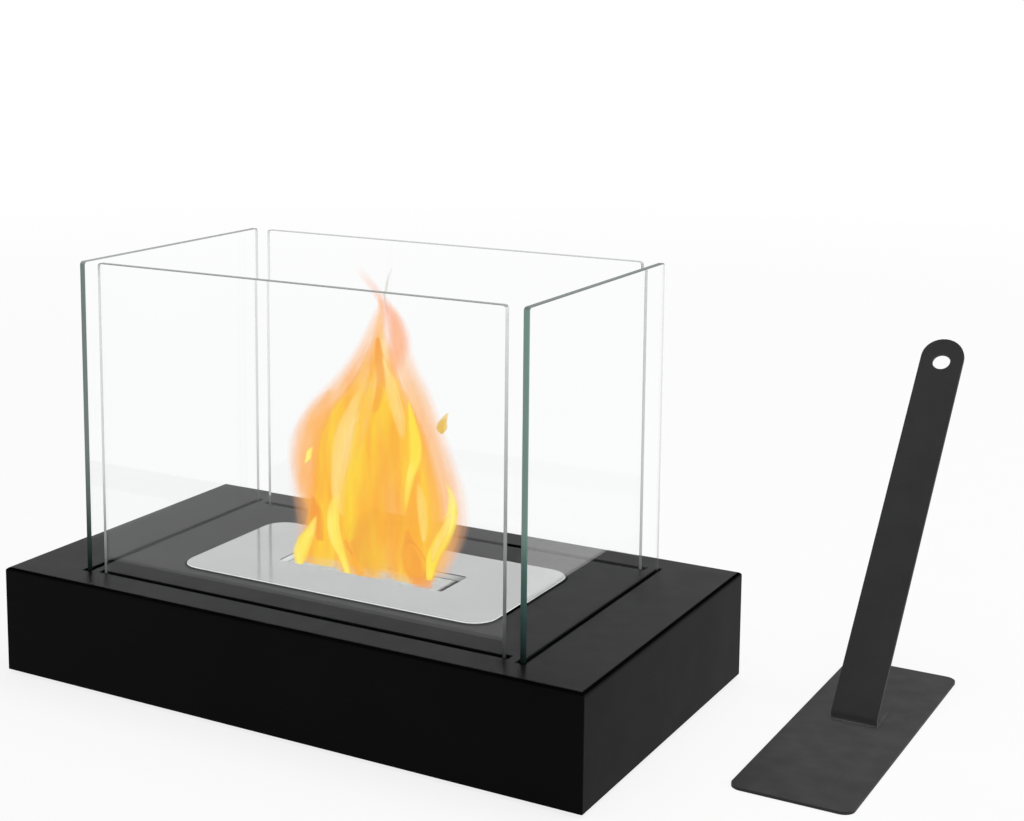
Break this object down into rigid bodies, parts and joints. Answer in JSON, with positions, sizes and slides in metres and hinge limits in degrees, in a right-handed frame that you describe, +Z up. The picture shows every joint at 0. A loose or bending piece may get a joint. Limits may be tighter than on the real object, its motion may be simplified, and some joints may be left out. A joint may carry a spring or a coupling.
{
  "type": "tabletop bioethanol fireplace",
  "caption": "Low black steel base with a polished drop-in ethanol burner inside a ring of loose glass panes, with a flat snuffer with a sloping handle lying beside it.",
  "frame": {"origin": "centre of the base's underside, on the panel pressed in the bottom plate; the table that the feet stand on is 2 mm below it", "axes": "+Z up; +X along the long front, to the right as seen from the front; the front faces -Y"},
  "size_m": [0.455, 0.3194, 0.23],
  "materials": {
    "black_powder_coat": "satin black powder coat",
    "polished_steel": "polished stainless steel",
    "clear_glass": "clear float glass with ground edges that look green",
    "black_rubber": "matt",
    "clear_silicone": "translucent",
    "zinc_steel": "zinc plated",
    "ceramic_fibre": "matted ceramic fibre",
    "snuffer_black": "matt black powder coat"
  },
  "bodies": {
    "base": {"housing": "black_powder_coat", "bottom_plate": "black_powder_coat", "bottom_screw_1": "zinc_steel", "bottom_screw_2": "zinc_steel", "bottom_screw_3": "zinc_steel", "bottom_screw_4": "zinc_steel", "bottom_screw_5": "zinc_steel", "bottom_screw_6": "zinc_steel", "foot_front_left": "black_rubber", "foot_front_right": "black_rubber", "foot_back_left": "black_rubber", "foot_back_right": "black_rubber", "glass_channel_front": "black_powder_coat", "glass_channel_back": "black_powder_coat", "glass_channel_left": "black_powder_coat", "glass_channel_right": "black_powder_coat", "glass_pad_front_1": "clear_silicone", "glass_pad_front_2": "clear_silicone", "glass_pad_back_1": "clear_silicone", "glass_pad_back_2": "clear_silicone", "glass_pad_left_1": "clear_silicone", "glass_pad_left_2": "clear_silicone", "glass_pad_right_1": "clear_silicone", "glass_pad_right_2": "clear_silicone"},
    "front_glass": {"front_glass": "clear_glass"},
    "back_glass": {"back_glass": "clear_glass"},
    "left_glass": {"left_glass": "clear_glass"},
    "right_glass": {"right_glass": "clear_glass"},
    "burner": {"burner_top_plate": "polished_steel", "burner_tank": "polished_steel", "ceramic_wool": "ceramic_fibre"},
    "snuffer": {"snuffer_plate": "snuffer_black", "snuffer_handle": "snuffer_black"}
  },
  "joints": [
    {"name": "front_glass_lift", "type": "slide", "parent": "base", "child": "front_glass", "axis": [0, 0, 1], "range_m": [0, 0.06]},
    {"name": "back_glass_lift", "type": "slide", "parent": "base", "child": "back_glass", "axis": [0, 0, 1], "range_m": [0, 0.06]},
    {"name": "left_glass_lift", "type": "slide", "parent": "base", "child": "left_glass", "axis": [0, 0, 1], "range_m": [0, 0.06]},
    {"name": "right_glass_lift", "type": "slide", "parent": "base", "child": "right_glass", "axis": [0, 0, 1], "range_m": [0, 0.06]},
    {"name": "burner_lift", "type": "slide", "parent": "base", "child": "burner", "axis": [0, 0, 1], "range_m": [0, 0.08]},
    {"name": "snuffer_lift", "type": "slide", "parent": "base", "child": "snuffer", "axis": [0, 0, 1], "range_m": [0, 0.25]}
  ]
}
